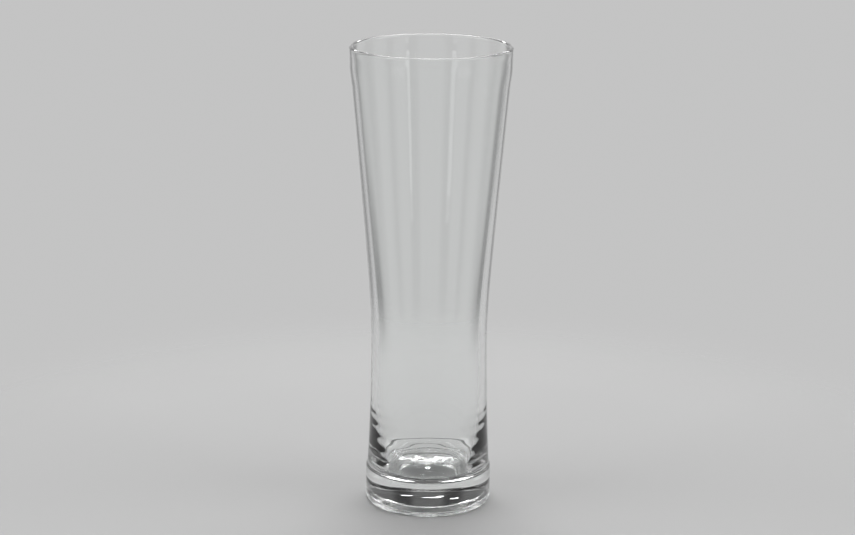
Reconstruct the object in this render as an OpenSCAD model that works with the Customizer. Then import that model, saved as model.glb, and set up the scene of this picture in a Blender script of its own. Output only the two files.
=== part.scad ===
// Tall pilsner glass: a thin flared bowl whose heavy round bottom is fused into a pressed foot.
// Millimetres. The axis is Z, and the table is the plane Z = 0.

/* [Overall] */
// Height from the table to the top of the rim
glass_h = 235; // [190:1:290]
// Outer diameter across the rim
rim_d = 80.8; // [74:0.2:90]
// Outer diameter at the waist, the narrowest place of the bowl
waist_d = 58.7; // [54:0.1:61.6]
// Height of the waist above the table
waist_z = 86; // [60:1:120]
// Outer diameter of the bowl just above the foot
neck_d = 62.4; // [60:0.2:68]

/* [Bowl wall] */
// Thickness of the wall just under the rim
lip_t = 2.05; // [1.6:0.05:2.6]
// Thickness that the wall would have above the foot without its thickened base
neck_t = 4.5; // [3.5:0.1:6]
// Extra thickness at the base of the wall, which fades out upwards
base_t = 3.8; // [2:0.1:5]
// Height above the table where the extra thickness has faded out
base_z = 52; // [40:1:70]
// Length over which the waist turns gently into the flare
flare_ease = 2; // [0.5:0.1:8]
// Height of the upright lip, with its bead
lip_h = 7; // [4:0.5:20]
// Height over which the flare turns upright into the lip
lip_turn = 13.5; // [6:0.5:25]
// Thickness of the fire-polished bead at the rim
bead_d = 2.3; // [1.8:0.05:3]
// How far the bead stands out past the lip
bead_proud = 0.12; // [0:0.01:0.3]

/* [Bowl bottom] */
// Height of the inner floor above the table, at the centre
floor_z = 12.6; // [12:0.1:15]
// Depth of the rounded bottom of the cavity, from wall to floor
cup_h = 7.9; // [6:0.1:12]
// How square the rounded bottom is: 2 is an ellipse, more is squarer
cup_power = 2.2; // [2:0.1:3.5]
// Number of fine chill rings on the rounded bottom
chill_rings = 3; // [0:1:4]
// Diameter of the outermost chill ring
chill_ring_d = 44.6; // [42:0.2:46]
// Spacing of the chill rings along the radius
chill_ring_pitch = 1.9; // [1.5:0.1:2.2]
// Width of one chill ring
chill_ring_w = 1.1; // [0.8:0.1:1.5]
// Height of the chill rings
chill_ring_h = 0.12; // [0:0.02:0.2]
// Diameter of the small pip at the centre of the floor
pip_d = 5; // [3:0.5:7]
// Height of the pip
pip_h = 0.6; // [0.2:0.1:1.2]

/* [Foot] */
// Height of the foot above the table, at the seam with the bowl
foot_h = 19.2; // [18:0.2:26]
// How far the foot's side stands out past the bowl
step_w = 0.7; // [0.4:0.05:2]
// Height of the soft round shoulder under the seam
shoulder_h = 1.4; // [1:0.1:3]
// Radius of the rounded heel at the table
heel_r = 2.6; // [1:0.1:4]
// Width of the flat ring that the glass stands on
bearing_w = 9.4; // [3:0.1:12]
// Height of the punt, the hollow under the foot, at its rim
punt_h = 2.7; // [1:0.1:4]
// Width of the curved side of the punt
punt_side_w = 1.4; // [0.8:0.1:6]
// Extra rise of the punt towards its centre
punt_dome_h = 0.5; // [0:0.1:2]

/* [Fused seat] */
// Height of the bottom of the seat above the table
seat_z = 8.5; // [7.5:0.1:10]
// Width of the flat ledge that carries the bowl's wall
ledge_w = 3.4; // [2:0.1:4.5]
// How much the seat narrows on each side from top to bottom
seat_taper = 5; // [2:0.1:8]
// Width of the small fillet where the bowl flows onto the foot
seam_fillet_w = 0.35; // [0.1:0.05:0.35]
// Height of that fillet
seam_fillet_h = 1.4; // [0.8:0.1:3]

/* [Hidden] */
$fn = 180;

rim_r = rim_d / 2;
waist_r = waist_d / 2;
neck_r = neck_d / 2;
bead_r = bead_d / 2;
foot_r = neck_r + step_w;

// The outer wall starts on top of the seam fillet and ends at the middle of the bead
neck_z = foot_h + seam_fillet_h;
bead_z = glass_h - bead_r;
lip_r = rim_r - bead_proud;
lip_low_z = glass_h - lip_h;
turn_low_z = lip_low_z - lip_turn;

// Seam and seat radii
seam_r = neck_r + seam_fillet_w;
seat_top_r = neck_r - ledge_w;
seat_low_r = seat_top_r - seat_taper;

// Bearing ring and punt radii
bearing_r = foot_r - heel_r;
punt_r = bearing_r - bearing_w;
punt_roof_r = punt_r - punt_side_w;

// The cavity's rounded bottom ends where the inner wall starts
cup_z = floor_z + cup_h;
chill_ring_r = chill_ring_d / 2;

// Numbers of steps along the curves of the outlines
wall_steps = 56;
cup_steps = 110;
arc_steps = 12;

// Slope of the flare, so that it meets the lip radius at the foot of the lip
flare_rise = lip_r - waist_r + flare_ease;
flare_slope = sqrt(flare_rise ^ 2 - flare_ease ^ 2) / (lip_low_z - waist_z);

// Goes smoothly from 0 to 1 while t goes from 0 to 1
function ease(t) = let (u = min(1, max(0, t))) u * u * (3 - 2 * u);

// Radius of the waist and the straight flare above it, a hyperbola
function flare_r(z) = waist_r - flare_ease + sqrt(flare_ease ^ 2 + (flare_slope * (z - waist_z)) ^ 2);

// Radius below the waist, a shallow parabola down to the neck
function neck_curve_r(z) = waist_r + (neck_r - waist_r) * ((waist_z - z) / (waist_z - neck_z)) ^ 2;

// Radius of the outer wall at height z, with the lip turned upright
function wall_r(z) =
    let (r = z < waist_z ? neck_curve_r(z) : flare_r(z))
    r + (lip_r - r) * ease((z - turn_low_z) / lip_turn);

// Thickness of the wall at height z: thin at the lip, heavier downwards, heaviest at its base
function wall_t(z) =
    lip_t + (neck_t - lip_t) * (1 - (z - foot_h) / (glass_h - foot_h)) ^ 2
    + base_t * (max(0, base_z - z) / (base_z - foot_h)) ^ 2;

// Height of the chill rings and of the pip at radius r
function ring_rise(r) =
    let (i = round((chill_ring_r - r) / chill_ring_pitch))
    let (away = abs(r - chill_ring_r + i * chill_ring_pitch))
    i >= 0 && i < chill_rings ? chill_ring_h * (1 - ease(2 * away / chill_ring_w)) : 0;
function pip_rise(r) = pip_h * (1 - ease(2 * r / pip_d));

// Quarter of an ellipse from the angle from_a to the angle to_a round centre c
function arc(c, rx, rz, from_a, to_a, steps) =
    [for (i = [0 : steps]) let (a = from_a + (to_a - from_a) * i / steps) c + [rx * cos(a), rz * sin(a)]];

// Concave fillet where the bowl's outer wall flows out onto the foot, a parabola from the seam upwards
function seam_fillet() =
    [for (i = [0 : arc_steps])
        let (u = i / arc_steps)
        [neck_r + seam_fillet_w * (1 - u) ^ 2, foot_h + seam_fillet_h * u]];

// Convex shoulder of the foot, a parabola up to the seam, so that the step is one soft S
function shoulder() =
    [for (i = [0 : arc_steps])
        let (u = i / arc_steps)
        [foot_r - (foot_r - seam_r) * u ^ 2, foot_h - shoulder_h * (1 - u)]];

// Outer wall from above the fillet to below the bead
function outer_wall() =
    [for (i = [1 : wall_steps]) let (z = neck_z + (bead_z - bead_r - neck_z) * i / wall_steps) [wall_r(z), z]];

// Rounded rim, from outside over the top to inside
function rim_bead() = arc([rim_r - bead_r, bead_z], bead_r, bead_r, 0, 180, 2 * arc_steps);

// Inner wall from below the bead down to the rounded bottom
function inner_wall() =
    [for (i = [0 : wall_steps])
        let (z = bead_z - bead_r + (cup_z - bead_z + bead_r) * i / wall_steps)
        [wall_r(z) - wall_t(z), z]];

// Rounded bottom of the cavity from the wall to the centre of the floor
cup_r = wall_r(cup_z) - wall_t(cup_z);
function cup() =
    [for (i = [1 : cup_steps])
        let (a = 90 * i / cup_steps, r = cup_r * cos(a) ^ (2 / cup_power))
        [r, cup_z - cup_h * sin(a) ^ (2 / cup_power) + ring_rise(r) + pip_rise(r)]];

// Outline of the bowl, from the middle of its underside round the outside and back inside
function bowl_outline() = concat(
    [[0, seat_z], [seat_low_r, seat_z], [seat_top_r, foot_h]],
    seam_fillet(), outer_wall(), rim_bead(), inner_wall(), cup());

// Outline of the foot, from the middle of the punt round the heel and up to the seat
function foot_outline() = concat(
    [for (i = [0 : arc_steps])
        let (r = punt_roof_r * i / arc_steps)
        [r, punt_h + punt_dome_h * (1 - (r / punt_roof_r) ^ 2)]],
    [for (i = [1 : arc_steps])
        let (u = i / arc_steps)
        [punt_roof_r + punt_side_w * u, punt_h * (1 - ease(u))]],
    arc([bearing_r, heel_r], heel_r, heel_r, -90, 0, arc_steps),
    shoulder(),
    [[seat_top_r, foot_h], [seat_low_r, seat_z], [0, seat_z]]);

// Flared blown bowl with its heavy bottom
module bowl() {
    color([0.86, 0.91, 0.92, 0.45])
        rotate_extrude()
            polygon(bowl_outline());
}

// Heavy pressed foot with heel, bearing ring and punt
module foot() {
    color([0.74, 0.82, 0.85, 0.6])
        rotate_extrude()
            polygon(foot_outline());
}

bowl();
foot();
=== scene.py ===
import math

import bpy
import numpy as np
from mathutils import Matrix, Vector


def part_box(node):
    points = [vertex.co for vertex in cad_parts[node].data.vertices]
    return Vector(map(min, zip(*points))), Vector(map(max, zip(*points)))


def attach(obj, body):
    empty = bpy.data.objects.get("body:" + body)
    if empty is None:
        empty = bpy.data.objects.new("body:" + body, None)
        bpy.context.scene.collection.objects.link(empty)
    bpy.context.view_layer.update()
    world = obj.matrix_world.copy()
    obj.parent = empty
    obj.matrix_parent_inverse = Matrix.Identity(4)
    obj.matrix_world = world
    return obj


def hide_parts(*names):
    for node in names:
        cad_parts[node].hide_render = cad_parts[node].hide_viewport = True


# A clear pilsner glass in a pale studio: a blown bowl and a pressed foot, each one lathed mesh
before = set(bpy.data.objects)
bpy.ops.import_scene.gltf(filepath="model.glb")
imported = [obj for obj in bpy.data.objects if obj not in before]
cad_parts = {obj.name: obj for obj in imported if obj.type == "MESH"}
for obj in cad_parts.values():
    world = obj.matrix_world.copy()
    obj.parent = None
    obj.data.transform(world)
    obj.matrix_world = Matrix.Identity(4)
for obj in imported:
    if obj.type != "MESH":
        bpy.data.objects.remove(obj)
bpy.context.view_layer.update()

MM = 0.001

# Sizes that the frame gives
bowl_low, bowl_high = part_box("bowl")
foot_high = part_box("foot")[1]
GLASS_H = bowl_high[2]
RIM_R = bowl_high[0]
SEAT_Z = bowl_low[2]
FOOT_H = foot_high[2]
FOOT_R = foot_high[0]

# Wall of the bowl
WAIST_R = 29.35 * MM
WAIST_Z = 86 * MM
STEP_W = 0.7 * MM
NECK_R = FOOT_R - STEP_W
LIP_T = 2.05 * MM
NECK_T = 4.5 * MM
BASE_T = 3.8 * MM
BASE_Z = 52 * MM
FLARE_EASE = 2 * MM
LIP_H = 7 * MM
LIP_TURN = 13.5 * MM
BEAD_R = 1.15 * MM
BEAD_PROUD = 0.12 * MM

# Bottom of the cavity
FLOOR_Z = 12.6 * MM
CUP_H = 7.9 * MM
CUP_POWER = 2.2
PIP_R = 2.5 * MM
PIP_H = 0.6 * MM
CHILL_R = 21.5 * MM
CHILL_PITCH = 1.5 * MM
CHILL_W = 1.4 * MM
CHILL_H = 0.2 * MM
CHILL_COUNT = 3

# Seam, seat, shoulder, heel and punt
SEAM_FILLET_W = 0.35 * MM
SEAM_FILLET_H = 1.4 * MM
LEDGE_W = 3.4 * MM
SEAT_TAPER = 5 * MM
SHOULDER_H = 1.4 * MM
HEEL_R = 2.6 * MM
BEARING_W = 9.4 * MM
PUNT_H = 2.7 * MM
PUNT_SIDE_W = 1.4 * MM
PUNT_DOME_H = 0.5 * MM

# Values worked out from the sizes above
SEAM_R = NECK_R + SEAM_FILLET_W
NECK_Z = FOOT_H + SEAM_FILLET_H
SEAT_TOP_R = NECK_R - LEDGE_W
SEAT_LOW_R = SEAT_TOP_R - SEAT_TAPER
BEAD_Z = GLASS_H - BEAD_R
LIP_R = RIM_R - BEAD_PROUD
LIP_LOW_Z = GLASS_H - LIP_H
CUP_Z = FLOOR_Z + CUP_H
BEARING_R = FOOT_R - HEEL_R
PUNT_R = BEARING_R - BEARING_W
PUNT_ROOF_R = PUNT_R - PUNT_SIDE_W
FLARE_RISE = LIP_R - WAIST_R + FLARE_EASE
FLARE_SLOPE = math.sqrt(FLARE_RISE ** 2 - FLARE_EASE ** 2) / (LIP_LOW_Z - WAIST_Z)

# Settle waves inside the lower wall: their top end, the height over which they fade and their depth
WAVE_Z = 62 * MM
WAVE_FADE = 20 * MM
WAVE_DEPTH = 0.03 * MM

# Crests of the waves: height of the top one, spacing there and how much each spacing outgrows the last
CREST_Z = 54.9 * MM
CREST_PITCH = 4.05 * MM
CREST_GROWTH = 0.6 * MM

# Flutes up the inside of the wall: depth, number round the glass, phase and twist per metre
FLUTES = [
    (0.018 * MM, 7, 0.5, 0),
    (0.012 * MM, 12, 2, 6),
    (0.007 * MM, 23, 1, 0),
]

# Depth of the unevenness of the bowl's outside and of the cavity's floor
OUTER_DEPTH = 0.01 * MM
SWIRL_DEPTH = 0.04 * MM

# Stipple on the bearing ring and on the side of the punt: height, width of a row and dots in a row
RING_STIPPLE_H = 0.16 * MM
RING_STIPPLE_ROW = 1.2 * MM
RING_STIPPLE_DOTS = 130
SIDE_STIPPLE_H = 0.1 * MM
SIDE_STIPPLE_ROW = 0.9 * MM
SIDE_STIPPLE_DOTS = 110

# Radius inside which the chill mark lies on the punt's roof
MARK_R = 11 * MM

# Wrinkles of the mark, in mm and radians: middle x and y, lean, half length, half width and height
WRINKLES = [
    (-5.5, 6.0, 0.1, 5.0, 0.75, 0.075),
    (1.0, 2.5, -0.06, 6.5, 0.75, 0.068),
    (3.5, 5.0, 0.35, 3.0, 0.75, 0.078),
    (9.0, -0.5, 0.3, 2.5, 0.75, 0.057),
]

# Rows along the fused seat, which both outlines share, and along the fillet and the shoulder
SEAT_FLOOR_ROWS = 6
SEAT_SIDE_ROWS = 8
STEP_ROWS = 12

# Rows along the rest of the bowl's outline
OUTER_ROWS = 79
BEAD_ROWS = 24
UPPER_ROWS = 65
WAVE_ROWS = 60
CUP_ROWS = 130

# Rows along the rest of the foot's outline, of which the mark's are part of the roof's
MARK_ROWS = 29
ROOF_ROWS = 34
SIDE_ROWS = 18
BEARING_ROWS = 36
HEEL_ROWS = 14
FOOT_WALL_ROWS = 8
LEDGE_ROWS = 2

# Points round each piece, and the angle in degrees from which an edge stays sharp
BOWL_TURNS = 256
FOOT_TURNS = 720
SHARP_DEG = 50


def ease(t):
    """Goes smoothly from 0 to 1 while t goes from 0 to 1."""
    u = np.clip(t, 0, 1)
    return u * u * (3 - 2 * u)


def wall_r(z):
    """Radius of the outer wall at height z."""
    flare = WAIST_R - FLARE_EASE + np.hypot(FLARE_EASE, FLARE_SLOPE * (z - WAIST_Z))
    neck = WAIST_R + (NECK_R - WAIST_R) * ((WAIST_Z - z) / (WAIST_Z - NECK_Z)) ** 2
    r = np.where(z < WAIST_Z, neck, flare)
    return r + (LIP_R - r) * ease((z - LIP_LOW_Z + LIP_TURN) / LIP_TURN)


def wall_t(z):
    """Thickness of the wall at height z."""
    base = BASE_T * (np.maximum(0, BASE_Z - z) / (BASE_Z - FOOT_H)) ** 2
    return LIP_T + (NECK_T - LIP_T) * (1 - (z - FOOT_H) / (GLASS_H - FOOT_H)) ** 2 + base


def chill_rings(r, z):
    """Rows of the rounded bottom, moved along their normals into the cavity where the chill rings run."""
    step_r, step_z = np.gradient(r), np.gradient(z)
    run = np.hypot(step_r, step_z)
    place = np.cumsum(run)
    rise = np.zeros_like(r)
    for i in range(CHILL_COUNT):
        middle = np.interp(CHILL_PITCH * i - CHILL_R, -r, place)
        rise = rise + CHILL_H * (1 - ease(2 * np.abs(place - middle) / CHILL_W))
    return r + rise * step_z / run, z - rise * step_r / run


def line(start, end, steps):
    """Points from start to end, without start."""
    t = np.arange(1, steps + 1)[:, None] / steps
    return np.array(start) * (1 - t) + np.array(end) * t


def arc(centre, rx, rz, from_deg, to_deg, steps):
    """Points of an elliptic arc, both ends among them."""
    a = np.radians(np.linspace(from_deg, to_deg, steps + 1))
    return np.column_stack([centre[0] + rx * np.cos(a), centre[1] + rz * np.sin(a)])


def bowl_outline():
    """Outline rows of the bowl from the axis under it, round the outside and back to the axis inside.

    Returns the rows and how many of them, from the first, lie on the fused seat.
    """
    seat = np.vstack([
        [[0, SEAT_Z]],
        line((0, SEAT_Z), (SEAT_LOW_R, SEAT_Z), SEAT_FLOOR_ROWS),
        line((SEAT_LOW_R, SEAT_Z), (SEAT_TOP_R, FOOT_H), SEAT_SIDE_ROWS),
    ])
    u = np.linspace(0, 1, STEP_ROWS + 1)
    fillet = np.column_stack([NECK_R + SEAM_FILLET_W * (1 - u) ** 2, FOOT_H + SEAM_FILLET_H * u])
    top_z = BEAD_Z - BEAD_R
    z = np.linspace(NECK_Z, top_z, OUTER_ROWS + 1)[1:]
    outer = np.column_stack([wall_r(z), z])
    bead = arc((RIM_R - BEAD_R, BEAD_Z), BEAD_R, BEAD_R, 0, 180, BEAD_ROWS)
    z = np.concatenate([np.linspace(top_z, WAVE_Z, UPPER_ROWS + 1),
                        np.linspace(WAVE_Z, CUP_Z, WAVE_ROWS + 1)[1:]])
    inner = np.column_stack([wall_r(z) - wall_t(z), z])
    a = np.radians(np.linspace(0, 90, CUP_ROWS + 1))[1:]
    r = inner[-1, 0] * np.clip(np.cos(a), 0, 1) ** (2 / CUP_POWER)
    r, z = chill_rings(r, CUP_Z - CUP_H * np.sin(a) ** (2 / CUP_POWER))
    r[-1] = 0
    cup = np.column_stack([r, z + PIP_H * (1 - ease(r / PIP_R))])
    return np.vstack([seat, fillet, outer, bead, inner, cup]), len(seat) + 1


def foot_outline():
    """Outline rows of the foot from the axis in the punt, round the heel and back to the axis on the seat.

    Returns the rows and how many of them, from the last, lie on the fused seat.
    """
    r = np.concatenate([np.linspace(0, MARK_R, MARK_ROWS + 1),
                        np.linspace(MARK_R, PUNT_ROOF_R, ROOF_ROWS - MARK_ROWS + 1)[1:]])
    roof = np.column_stack([r, PUNT_H + PUNT_DOME_H * (1 - (r / PUNT_ROOF_R) ** 2)])
    u = np.linspace(0, 1, SIDE_ROWS + 1)[1:]
    side = np.column_stack([PUNT_ROOF_R + PUNT_SIDE_W * u, PUNT_H * (1 - ease(u))])
    bearing = line((PUNT_R, 0), (BEARING_R, 0), BEARING_ROWS)
    heel = arc((BEARING_R, HEEL_R), HEEL_R, HEEL_R, -90, 0, HEEL_ROWS)[1:]
    wall = line((FOOT_R, HEEL_R), (FOOT_R, FOOT_H - SHOULDER_H), FOOT_WALL_ROWS)
    u = np.linspace(0, 1, STEP_ROWS + 1)[1:]
    shoulder = np.column_stack([FOOT_R - (FOOT_R - SEAM_R) * u ** 2, FOOT_H - SHOULDER_H * (1 - u)])
    seat = np.vstack([
        line((SEAM_R, FOOT_H), (SEAT_TOP_R, FOOT_H), LEDGE_ROWS),
        line((SEAT_TOP_R, FOOT_H), (SEAT_LOW_R, SEAT_Z), SEAT_SIDE_ROWS),
        line((SEAT_LOW_R, SEAT_Z), (0, SEAT_Z), SEAT_FLOOR_ROWS),
    ])
    return np.vstack([roof, side, bearing, heel, wall, shoulder, seat]), len(seat) + 1


def lathe(name, rows, turns, wobble):
    """Closed mesh turned from outline rows that start and end on the axis.

    wobble(r, z, angle) returns what to add to r and z. The two points on the axis stay where they are.
    """
    angle = np.arange(turns) * 2 * math.pi / turns
    r = np.repeat(rows[1:-1, 0:1], turns, axis=1)
    z = np.repeat(rows[1:-1, 1:2], turns, axis=1)
    dr, dz = wobble(r, z, angle[None, :])
    r, z = r + dr, z + dz
    rings = np.stack([r * np.cos(angle), r * np.sin(angle), z], axis=-1).reshape(-1, 3)
    verts = np.vstack([[[0, 0, rows[0, 1]]], rings, [[0, 0, rows[-1, 1]]]])
    last = len(verts) - 1
    here = np.arange(turns)
    ahead = (here + 1) % turns
    pairs = list(zip(here.tolist(), ahead.tolist()))
    end_ring = last - turns
    faces = [(0, 1 + b, 1 + a) for a, b in pairs]
    for low in range(1, end_ring, turns):
        high = low + turns
        quads = np.column_stack([low + here, low + ahead, high + ahead, high + here])
        faces.extend(map(tuple, quads.tolist()))
    faces += [(end_ring + a, end_ring + b, last) for a, b in pairs]
    mesh = bpy.data.meshes.new(name)
    mesh.from_pydata(verts.tolist(), [], faces)
    mesh.polygons.foreach_set("use_smooth", np.ones(len(faces), dtype=bool))
    mesh.set_sharp_from_angle(angle=math.radians(SHARP_DEG))
    mesh.update()
    piece = bpy.data.objects.new(name, mesh)
    bpy.context.collection.objects.link(piece)
    return piece


def paint_rows(piece, turns, from_row, to_row, slot):
    """Gives the bands between two rows of a lathed piece another material slot."""
    index = np.zeros(len(piece.data.polygons), dtype=np.int32)
    piece.data.polygons.foreach_get("material_index", index)
    index[from_row * turns:to_row * turns] = slot
    piece.data.polygons.foreach_set("material_index", index)


def settle_waves(z, angle):
    """Waves that hot glass leaves inside the lower wall, with crests that lie further apart downwards."""
    square = CREST_PITCH ** 2 + 2 * CREST_GROWTH * (CREST_Z - z)
    crest = (np.sqrt(np.maximum(0, square)) - CREST_PITCH) / CREST_GROWTH
    uneven = 1 + 0.25 * np.sin(2 * angle + 1)
    drift = 0.8 * np.sin(angle + 0.6) + 0.3 * np.sin(3 * angle)
    return WAVE_DEPTH * ease((WAVE_Z - z) / WAVE_FADE) * uneven * np.cos(2 * math.pi * crest + drift)


def floor_swirl(r, angle):
    """Unevenness of the cavity's floor, -1 to 1, which fades out at the pip."""
    x, y = r * np.cos(angle) / MM, r * np.sin(angle) / MM
    swirl = np.sin(0.8 * x + 1.4 * np.sin(0.45 * y + 0.5)) * np.cos(0.55 * y - 0.3 * x + 1)
    return swirl * ease(r / PIP_R - 0.5)


def bowl_wobble(r, z, angle):
    """Unevenness of blown glass: settle waves, faint flutes, an uneven floor and a wavy outside."""
    within_wall = 0.6
    inside = r < wall_r(z) - within_wall * wall_t(z)
    low_z, low_fade = CUP_Z - 2 * MM, 6 * MM
    high_z, high_fade = BEAD_Z - 4 * MM, 12 * MM
    on_wall = ease((z - low_z) / low_fade) * ease((high_z - z) / high_fade)
    inner = settle_waves(z, angle)
    for depth, count, phase, twist in FLUTES:
        inner = inner + depth * np.sin(count * angle + phase + twist * z)
    outer = np.where(z > NECK_Z + 2 * MM, OUTER_DEPTH * (np.sin(5 * angle + 40 * z) - 1), 0)
    on_floor = inside & (z > FLOOR_Z - 1 * MM) & (z < CUP_Z) & (r < NECK_R - 6 * MM)
    floor_fade = 3 * MM
    rise = SWIRL_DEPTH * floor_swirl(r, angle) * ease((CUP_Z - z) / floor_fade)
    return np.where(inside, inner, outer) * on_wall, np.where(on_floor, rise, 0)


def stipple(along, angle, dots):
    """Rows of small round dots, 0 to 1, at a place counted in rows and an angle round the axis."""
    row_shift = 2.4
    row = np.floor(along)
    across = np.sin(math.pi * (along - row)) ** 2
    return across * (0.5 + 0.5 * np.cos(dots * angle + row_shift * row))


def chill_mark(x, y):
    """Height of the small wrinkles that the plunger leaves on the punt's roof, with x and y in mm too."""
    curl, curl_rate = 0.12, 0.7
    height = 0
    for x0, y0, lean, length, width, rise in WRINKLES:
        along = (x - x0) * math.cos(lean) + (y - y0) * math.sin(lean)
        across = (y - y0) * math.cos(lean) - (x - x0) * math.sin(lean) - curl * np.sin(curl_rate * along)
        height = height + rise * np.exp(-(along / length) ** 2 - (across / width) ** 2)
    return height


def foot_wobble(r, z, angle):
    """Stipple pressed into the bearing ring and the side of the punt, and the chill mark on its roof."""
    flat, inner_edge, outer_edge = 0.01 * MM, PUNT_R + 0.3 * MM, BEARING_R - 0.1 * MM
    on_ring = (z < flat) & (r > inner_edge) & (r < outer_edge)
    ring = np.where(on_ring, stipple((r - PUNT_R) / RING_STIPPLE_ROW, angle, RING_STIPPLE_DOTS), 0)
    on_side = (z > flat) & (r > PUNT_ROOF_R) & (r < PUNT_R)
    side = np.where(on_side, stipple(z / SIDE_STIPPLE_ROW, angle, SIDE_STIPPLE_DOTS), 0)
    mark_fade = 1 * MM
    on_roof = ease((MARK_R - r) / mark_fade) * (z < SEAT_Z - 1 * MM)
    mark = chill_mark(r * np.cos(angle) / MM, r * np.sin(angle) / MM) * MM * on_roof
    return -SIDE_STIPPLE_H * side, RING_STIPPLE_H * ring + SIDE_STIPPLE_H * side + mark


def node(tree, kind, **inputs):
    """Adds a shader node and sets its inputs by name."""
    made = tree.nodes.new(kind)
    for key, value in inputs.items():
        made.inputs[key.replace("_", " ")].default_value = value
    return made


def glass(name, tint, haze, wave, grain):
    """Clear glass with patches as rough as haze and about grain ripples to the metre, wave high."""
    mat = bpy.data.materials.new(name)
    mat.use_nodes = True
    tree = mat.node_tree
    shader = tree.nodes["Principled BSDF"]
    shader.inputs["Base Color"].default_value = (*tint, 1)
    shader.inputs["Transmission Weight"].default_value = 1
    shader.inputs["IOR"].default_value = 1.52
    where = tree.nodes.new("ShaderNodeTexCoord")
    smears = node(tree, "ShaderNodeTexNoise", Scale=1.5 * grain, Detail=4.0, Roughness=0.6)
    patches = node(tree, "ShaderNodeMapRange", From_Min=0.45, From_Max=0.8, To_Min=0.0, To_Max=haze)
    ripple = node(tree, "ShaderNodeTexNoise", Scale=grain, Detail=1.0)
    bump = node(tree, "ShaderNodeBump", Strength=1.0, Distance=wave)
    link = tree.links.new
    link(where.outputs["Object"], smears.inputs["Vector"])
    link(smears.outputs["Fac"], patches.inputs["Value"])
    link(patches.outputs["Result"], shader.inputs["Roughness"])
    link(where.outputs["Object"], ripple.inputs["Vector"])
    link(ripple.outputs["Fac"], bump.inputs["Height"])
    link(bump.outputs["Normal"], shader.inputs["Normal"])
    return mat


def fused_join():
    """The join inside the glass, where two pieces of one glass meet and nothing is seen."""
    mat = bpy.data.materials.new("fused_join")
    mat.use_nodes = True
    tree = mat.node_tree
    tree.nodes.remove(tree.nodes["Principled BSDF"])
    clear = tree.nodes.new("ShaderNodeBsdfTransparent")
    tree.links.new(clear.outputs["BSDF"], tree.nodes["Material Output"].inputs["Surface"])
    return mat


def make_bowl(join):
    """The blown bowl, clear where it is fused to the foot."""
    rows, on_seat = bowl_outline()
    bowl = lathe("blown_bowl", rows, BOWL_TURNS, bowl_wobble)
    polished = glass("bowl_glass", tint=(0.988, 0.996, 0.993), haze=0.03, wave=0.01 * MM, grain=26)
    for material in (polished, join):
        bowl.data.materials.append(material)
    join_slot = 1
    paint_rows(bowl, BOWL_TURNS, 0, on_seat - 1, join_slot)
    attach(bowl, "root")
    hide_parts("bowl")


def make_foot(join):
    """The pressed foot, clear where it is fused to the bowl and rough where it is stippled."""
    rows, on_seat = foot_outline()
    foot = lathe("pressed_foot", rows, FOOT_TURNS, foot_wobble)
    polished = glass("foot_glass", tint=(0.98, 0.993, 0.99), haze=0.03, wave=0.02 * MM, grain=26)
    stippled = glass("stippled_glass", tint=(0.98, 0.99, 0.986), haze=0.5, wave=0.2 * MM, grain=700)
    for material in (polished, join, stippled):
        foot.data.materials.append(material)
    join_slot, stippled_slot = 1, 2
    paint_rows(foot, FOOT_TURNS, len(rows) - on_seat, len(rows) - 1, join_slot)
    paint_rows(foot, FOOT_TURNS, ROOF_ROWS, ROOF_ROWS + SIDE_ROWS + BEARING_ROWS, stippled_slot)
    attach(foot, "root")
    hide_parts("foot")


def make_floor(radius, grey):
    """Round pale floor that fades into the background before its edge."""
    mesh = bpy.data.meshes.new("floor")
    steps = 96
    turns = [2 * math.pi * i / steps for i in range(steps)]
    points = [(radius * math.cos(turn), radius * math.sin(turn), 0) for turn in turns]
    mesh.from_pydata(points, [], [tuple(range(steps))])
    floor = bpy.data.objects.new("floor", mesh)
    bpy.context.collection.objects.link(floor)
    mat = bpy.data.materials.new("floor")
    mat.use_nodes = True
    tree = mat.node_tree
    shader = tree.nodes["Principled BSDF"]
    shader.inputs["Base Color"].default_value = (grey, grey, grey, 1)
    shader.inputs["Roughness"].default_value = 0.8
    shader.inputs["Specular IOR Level"].default_value = 0.1
    where = tree.nodes.new("ShaderNodeTexCoord")
    far = tree.nodes.new("ShaderNodeVectorMath")
    far.operation = "LENGTH"
    fade_from, fade_to = 0.5 * radius, 0.97 * radius
    fade = node(tree, "ShaderNodeMapRange", From_Min=fade_from, From_Max=fade_to)
    fade.interpolation_type = "SMOOTHERSTEP"
    clear = tree.nodes.new("ShaderNodeBsdfTransparent")
    mix = tree.nodes.new("ShaderNodeMixShader")
    link = tree.links.new
    link(where.outputs["Object"], far.inputs[0])
    link(far.outputs["Value"], fade.inputs["Value"])
    link(fade.outputs["Result"], mix.inputs["Fac"])
    link(shader.outputs["BSDF"], mix.inputs[1])
    link(clear.outputs["BSDF"], mix.inputs[2])
    link(mix.outputs[0], tree.nodes["Material Output"].inputs["Surface"])
    floor.data.materials.append(mat)


def ramp(tree, stops):
    """Colour ramp through grey stops, each a place and a level."""
    made = tree.nodes.new("ShaderNodeValToRGB")
    points = made.color_ramp.elements
    points[0].position, points[1].position = stops[0][0], stops[-1][0]
    for place, _ in stops[1:-1]:
        points.new(place)
    for point, (_, level) in zip(points, stops):
        point.color = (level, level, level, 1)
    return made


def math_node(tree, operation, *operands):
    """Math node fed by sockets or constants."""
    made = tree.nodes.new("ShaderNodeMath")
    made.operation = operation
    for socket, operand in zip(made.inputs, operands):
        if isinstance(operand, (int, float)):
            socket.default_value = operand
        else:
            tree.links.new(operand, socket)
    return made.outputs[0]


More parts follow.
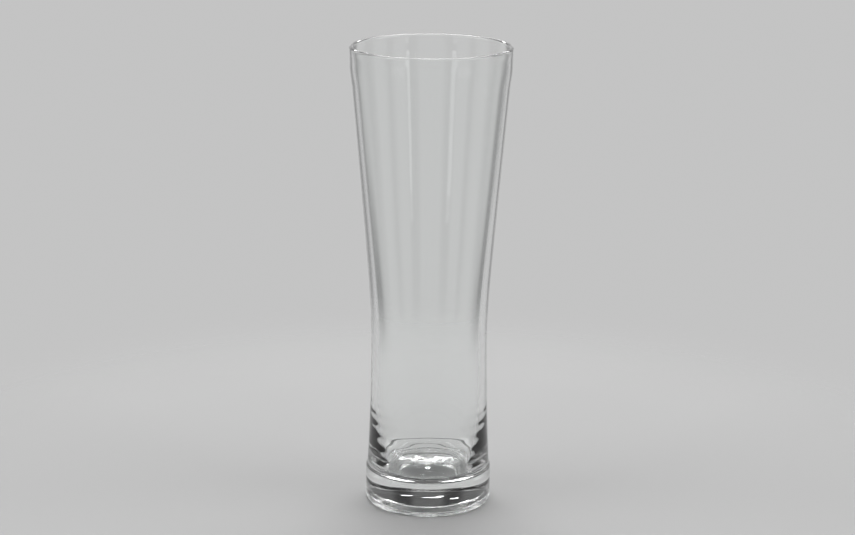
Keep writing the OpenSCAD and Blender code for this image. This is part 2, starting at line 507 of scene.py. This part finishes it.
def make_world(seen, level, through, shine, upright):
    """Soft even world light in front of a pale background.

    The camera sees the plain level seen, and diffuse surfaces get level. Rays that pass through the
    glass or shine off it see the room: seen times the factors of through or shine, by height. What is
    seen through the glass has soft darker uprights too, where the factor falls to upright.
    """
    uprights, drift_rate = 8.0, 3.0
    world = bpy.data.worlds.new("studio")
    bpy.context.scene.world = world
    world.use_nodes = True
    tree = world.node_tree
    link = tree.links.new
    light = tree.nodes["Background"]
    light.inputs["Color"].default_value = (level, level, level, 1)
    back = tree.nodes.new("ShaderNodeBackground")
    back.inputs["Color"].default_value = (seen, seen, seen, 1)
    path = tree.nodes.new("ShaderNodeLightPath")

    where = tree.nodes.new("ShaderNodeTexCoord")
    parts = tree.nodes.new("ShaderNodeSeparateXYZ")
    link(where.outputs["Generated"], parts.inputs[0])
    azimuth = math_node(tree, "ARCTAN2", parts.outputs["X"], parts.outputs["Y"])
    drift = math_node(tree, "SINE", math_node(tree, "MULTIPLY", azimuth, drift_rate))
    wave = math_node(tree, "COSINE", math_node(tree, "MULTIPLY_ADD", azimuth, uprights, drift))
    gaps = node(tree, "ShaderNodeMapRange", From_Min=-0.95, From_Max=0.2, To_Min=upright, To_Max=1.0)
    gaps.interpolation_type = "SMOOTHSTEP"
    link(wave, gaps.inputs["Value"])
    seen_through = ramp(tree, through)
    seen_shining = ramp(tree, shine)
    link(parts.outputs["Z"], seen_through.inputs["Fac"])
    link(parts.outputs["Z"], seen_shining.inputs["Fac"])
    behind = tree.nodes.new("ShaderNodeBackground")
    link(math_node(tree, "MULTIPLY", seen_through.outputs["Color"], gaps.outputs["Result"]),
         behind.inputs["Color"])
    behind.inputs["Strength"].default_value = seen
    around = tree.nodes.new("ShaderNodeBackground")
    link(seen_shining.outputs["Color"], around.inputs["Color"])
    around.inputs["Strength"].default_value = seen

    shown = light
    for ray, other in (("Is Glossy Ray", around), ("Is Transmission Ray", behind), ("Is Camera Ray", back)):
        mix = tree.nodes.new("ShaderNodeMixShader")
        link(path.outputs[ray], mix.inputs["Fac"])
        link(shown.outputs[0], mix.inputs[1])
        link(other.outputs[0], mix.inputs[2])
        shown = mix
    link(shown.outputs[0], tree.nodes["World Output"].inputs["Surface"])


def make_lamp(name, azimuth, elevation, distance, width, tall, watts):
    """Soft box at an azimuth and elevation round the glass, facing its middle."""
    data = bpy.data.lights.new(name, "AREA")
    data.shape = "RECTANGLE"
    data.size, data.size_y = width, tall
    data.energy = watts
    lamp = bpy.data.objects.new(name, data)
    a, e = math.radians(azimuth), math.radians(elevation)
    middle = Vector((0, 0, GLASS_H / 2))
    towards = Vector((math.cos(e) * math.sin(a), -math.cos(e) * math.cos(a), math.sin(e)))
    lamp.location = middle + distance * towards
    lamp.rotation_euler = (middle - lamp.location).to_track_quat("-Z", "Y").to_euler()
    bpy.context.collection.objects.link(lamp)
    lamp.visible_camera = False


def make_camera():
    """The photograph's viewpoint, from a fit to the rim, the edges and the foot."""
    focal_px, frame_px, sensor = 2254.4, 855, 36
    away, high = 1099.7 * MM, 408.2 * MM
    pitch, yaw, roll = math.radians(14.57), math.radians(-0.057), math.radians(0.45)
    forward = Vector((math.cos(pitch) * math.sin(yaw), math.cos(pitch) * math.cos(yaw), -math.sin(pitch)))
    right = Vector((math.cos(yaw), -math.sin(yaw), 0))
    up = right.cross(forward)
    side = math.cos(roll) * right + math.sin(roll) * up
    top = math.cos(roll) * up - math.sin(roll) * right
    data = bpy.data.cameras.new("camera")
    data.sensor_width = sensor
    data.lens = focal_px * sensor / frame_px
    camera = bpy.data.objects.new("camera", data)
    turn = Matrix((side, top, -forward)).transposed().to_4x4()
    camera.matrix_world = Matrix.Translation((0, -away, high)) @ turn
    bpy.context.collection.objects.link(camera)
    bpy.context.scene.camera = camera


# Radius in metres and grey of the floor
FLOOR_RADIUS = 0.4
FLOOR_GREY = 0.56

# Grey of the background as the camera sees it, and level of the even light on diffuse surfaces
SEEN = 0.55
LEVEL = 0.42

# What the glass shows of the room: height of a direction, 0 level and 1 straight up, and its factor
THROUGH = [(0, 1), (0.09, 1), (0.16, 0.2), (1, 0.2)]
SHINE = [(0, 1), (0.04, 1.8), (1, 1.8)]

# Factor to which the soft uprights darken what is seen through the glass
UPRIGHT = 0.3

# Soft boxes: name, azimuth and elevation in degrees, distance, width and height in metres, and watts
LAMPS = [
    ("low_bar", 180, 28, 1.6, 1.8, 0.1, 7.5),
    ("middle_bar", 180, 48, 1.6, 1.8, 0.08, 3.4),
    ("high_bar", 180, 66, 1.6, 1.8, 0.08, 3.4),
    ("top_box", 180, 80, 1.2, 0.2, 0.2, 0.7),
    ("left_side_box", -75, 22, 2.6, 1.9, 0.9, 18),
    ("right_side_box", 75, 22, 2.6, 1.9, 0.9, 18),
    ("left_strip", -35, 18, 1.3, 0.16, 1.0, 0.6),
    ("right_strip", 36, 18, 1.3, 0.12, 1.0, 0.45),
]

join = fused_join()
make_bowl(join)
make_foot(join)
make_floor(FLOOR_RADIUS, FLOOR_GREY)
make_world(SEEN, LEVEL, THROUGH, SHINE, UPRIGHT)
for lamp in LAMPS:
    make_lamp(*lamp)
make_camera()
bpy.context.scene.view_settings.view_transform = "Standard"
